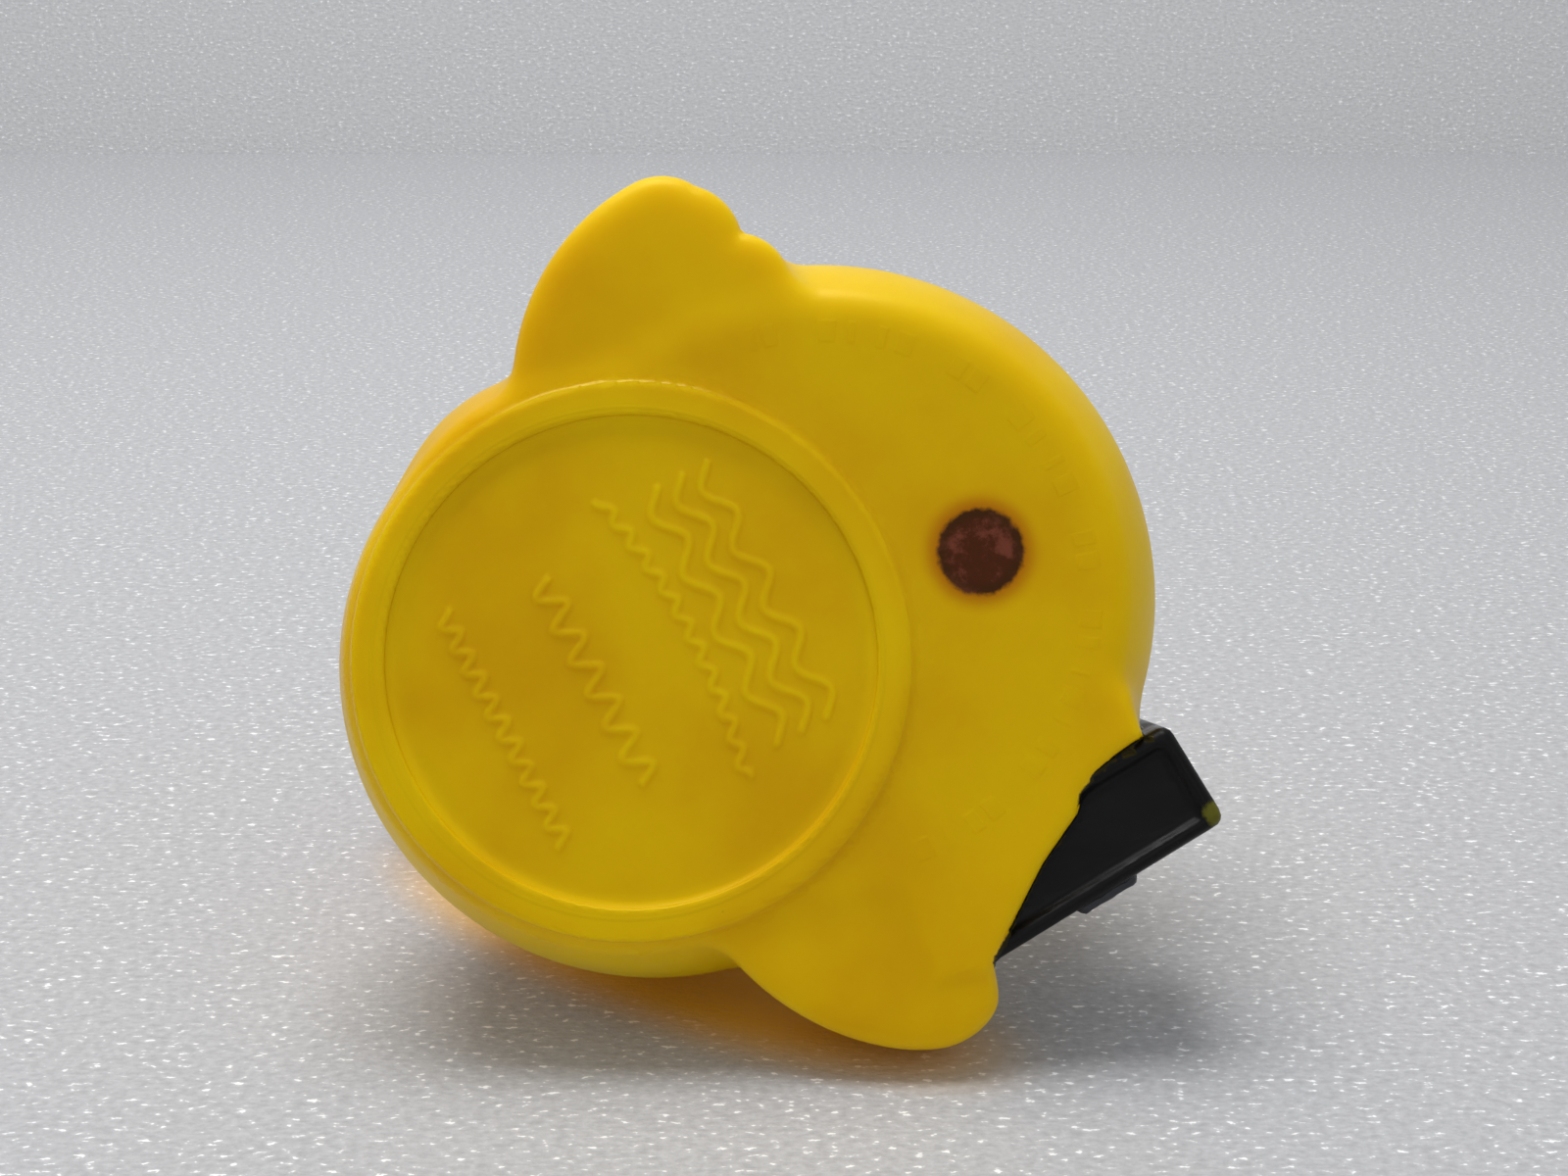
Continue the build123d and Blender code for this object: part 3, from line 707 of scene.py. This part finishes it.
def grown(piece, tree, name, **inputs):
    """Applies a geometry tree to a piece and returns the result as a plain mesh object."""
    modifier = piece.modifiers.new(tree.name, "NODES")
    modifier.node_group = tree
    for item in tree.interface.items_tree:
        key = item.name.replace(" ", "_")
        if item.in_out == "INPUT" and key in inputs:
            modifier[item.identifier] = inputs[key]
    bpy.context.view_layer.update()
    mesh = bpy.data.meshes.new_from_object(piece.evaluated_get(bpy.context.evaluated_depsgraph_get()))
    bpy.data.objects.remove(piece)
    mesh.name = name
    made = bpy.data.objects.new(name, mesh)
    bpy.context.scene.collection.objects.link(made)
    return made


lid = grown(lid_disc(), ripples_tree(), "base_lid_disc", Stroke_width=0.38 * MM, Stroke_height=0.2 * MM,
            Finish=LID)
lid.data.shade_smooth()

# ---------------------------------------------------------------- pieces and their bodies
skin.data.materials.append(SKIN)
skin.data.materials.append(ENAMEL)
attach(skin, "duck")
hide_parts("body_shell")
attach(lid, "duck")
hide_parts("base_lid")
for node_name, finish in (("ballast_weight", ZINC), ("squeaker_body", WHITE_PE), ("squeaker_cap", WHITE_PE),
                          ("reed_bed", WHITE_PE), ("reed", BRASS)):
    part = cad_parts[node_name]
    part.data.materials.clear()
    part.data.materials.append(finish)

# ---------------------------------------------------------------- stage, light and camera
# The duck lies on its right wing and head, the belly turned to the camera and up by the pitch.
PITCH = math.radians(18.5)
ROLL = math.radians(18.0)
CAM_AT = Vector((2.2, 16.1, -250.0)) * MM
RIGHT = Vector((-math.sin(ROLL), math.cos(ROLL), 0.0))
VIEW_UP = Vector((math.cos(ROLL), math.sin(ROLL), 0.0))
BACK = Vector((0.0, 0.0, -1.0))
UP = (VIEW_UP * math.cos(PITCH) + BACK * math.sin(PITCH)).normalized()
TOWARDS = RIGHT.cross(UP)
ground = (verts * MM) @ np.array(UP)
GROUND = float(np.quantile(ground, 0.0002))
MIDDLE = Vector((0.0, 14.0, 20.0)) * MM
FOOT = MIDDLE - UP * (MIDDLE.dot(UP) - GROUND)


def place(right, towards, up):
    """A point from the spot on the floor under the duck, in metres."""
    return FOOT + RIGHT * right + TOWARDS * towards + UP * up


# the floor reaches this far to the sides, to the camera, back to the wall, and the wall this high, in metres
WIDE, FRONT, REAR, TALL = 1.6, 0.25, 0.53, 0.9
# painted light: where the amber pool painted into the floor's colour lies, how it is turned and how far it
# reaches
PAINTED_GLOW_AT = (WIDE / 2 - 0.010, FRONT - 0.002, 0.0)
PAINTED_GLOW_TURN = math.radians(-40.0)
PAINTED_GLOW_SIZE = (0.048, 0.018, 1.0)


def foam_sheet(name, low, high, painted_amber_light=False):
    """Pale expanded polyethylene foam: a fibrous skin with cells about 1 mm across and small bright glints
    painted in white as highlights; on the floor also a painted amber pool of light.
    """
    made, add = blank(name)
    at = add("TexCoord", out="UV")
    fibres = add("TexNoise", Vector=add("Mapping", Vector=at, Scale=(0.5, 1.0, 1.0)), Scale=1500.0, Detail=2.0)
    cells = add("TexNoise", Vector=at, Scale=900.0, Detail=4.0, Roughness=0.6)
    both = add("Math", add("Math", fibres, 0.45, **TIMES), add("Math", cells, 0.55, **TIMES), **PLUS)
    colour = add("Mix", add("MapRange", both, 0.3, 0.7, **EASED), i6=linear(low), i7=linear(high), **OF_COLOURS)
    # painted highlights: where fibres and cells run high, white is mixed into the colour for the foam's glints;
    # the same spots are also made glossier
    painted_glint = add("MapRange", add("Math", fibres, add("Math", cells, 0.4, **TIMES), **PLUS), 0.83, 0.92, **EASED)
    colour = add("Mix", painted_glint, i6=colour, i7=linear("#FFFFFF"), **OF_COLOURS)
    if painted_amber_light:
        # painted light: an amber pool is painted into the foam's colour under the duck's lower side, standing
        # for daylight that has passed through the yellow vinyl
        spot = add("Mapping", Vector=at, Location=PAINTED_GLOW_AT, Rotation=(0.0, 0.0, PAINTED_GLOW_TURN), Scale=PAINTED_GLOW_SIZE,
                   vector_type="TEXTURE")
        away = add("VectorMath", spot, operation="LENGTH", out="Value")
        painted_glow = add("Math", add("MapRange", away, 1.0, 0.5, **EASED), 0.97, **TIMES)
        colour = add("Mix", painted_glow, i6=colour, i7=linear("#EBB40E"), **OF_COLOURS)
    gloss = add("Math", 0.6, add("Math", painted_glint, 0.3, **TIMES), **MINUS)
    bump = add("Bump", Strength=0.5, Distance=0.0005, Height=both)
    cloth = add("BsdfPrincipled", Base_Color=colour, Roughness=gloss, Normal=bump)
    clear = add("BsdfTransparent")
    back = add("NewGeometry", out="Backfacing")
    both_sides = add("MixShader", back, cloth, clear)
    add("OutputMaterial", Surface=both_sides)
    return made


def sheet_of(name, corner, along, across, finish):
    """A flat sheet from a corner, its UV in metres."""
    points = [corner, corner + along, corner + along + across, corner + across]
    mesh = bpy.data.meshes.new(name)
    mesh.from_pydata(points, [], [(0, 1, 2, 3)])
    uv = mesh.uv_layers.new(name="metres")
    for i, (u, v) in enumerate(((0, 0), (along.length, 0), (along.length, across.length), (0, across.length))):
        uv.data[i].uv = (u, v)
    mesh.materials.append(finish)
    made = bpy.data.objects.new(name, mesh)
    bpy.context.scene.collection.objects.link(made)
    return made


# the floor's sheet also carries the painted amber pool of light (the last argument)
sheet_of("foam_floor", place(-WIDE / 2, FRONT, 0), RIGHT * WIDE, -TOWARDS * (FRONT + REAR),
         foam_sheet("white_foam_floor", "#ABABAD", "#C5C5C7", True))
sheet_of("foam_wall", place(-WIDE / 2, -REAR, 0), RIGHT * WIDE, UP * TALL,
         foam_sheet("white_foam_wall", "#C6C7C8", "#DCDDDE"))


def softbox(name, where, aim, size, watts):
    """A rectangular lamp at a point, aimed at another."""
    light = bpy.data.lights.new(name, "AREA")
    light.shape = "RECTANGLE"
    light.size, light.size_y = size
    light.energy = watts
    lamp = bpy.data.objects.new(name, light)
    bpy.context.scene.collection.objects.link(lamp)
    lamp.location = where
    lamp.rotation_mode = "QUATERNION"
    lamp.rotation_quaternion = (aim - where).to_track_quat("-Z", "Y")


softbox("overhead", place(-0.12, -0.12, 0.8), place(0, -0.06, 0.0), (0.5, 0.4), 4.9)
softbox("front_fill", place(0.1, 0.8, 0.5), place(0, 0, 0.04), (0.8, 0.6), 0.45)

world = bpy.data.worlds.new("soft_room")
world.use_nodes = True
sky = world.node_tree.nodes["Background"].inputs
sky["Color"].default_value, sky["Strength"].default_value = linear("#E6E8EB"), 0.6
bpy.context.scene.world = world
bpy.context.scene.view_settings.view_transform = "Standard"

lens = bpy.data.cameras.new("camera")
lens.sensor_width = 36.0
lens.lens = 60.0
lens.clip_start, lens.clip_end = 0.01, 10.0
camera = bpy.data.objects.new("camera", lens)
bpy.context.scene.collection.objects.link(camera)
camera.matrix_world = Matrix.Translation(CAM_AT) @ Matrix((RIGHT, VIEW_UP, BACK)).transposed().to_4x4()
bpy.context.scene.camera = camera
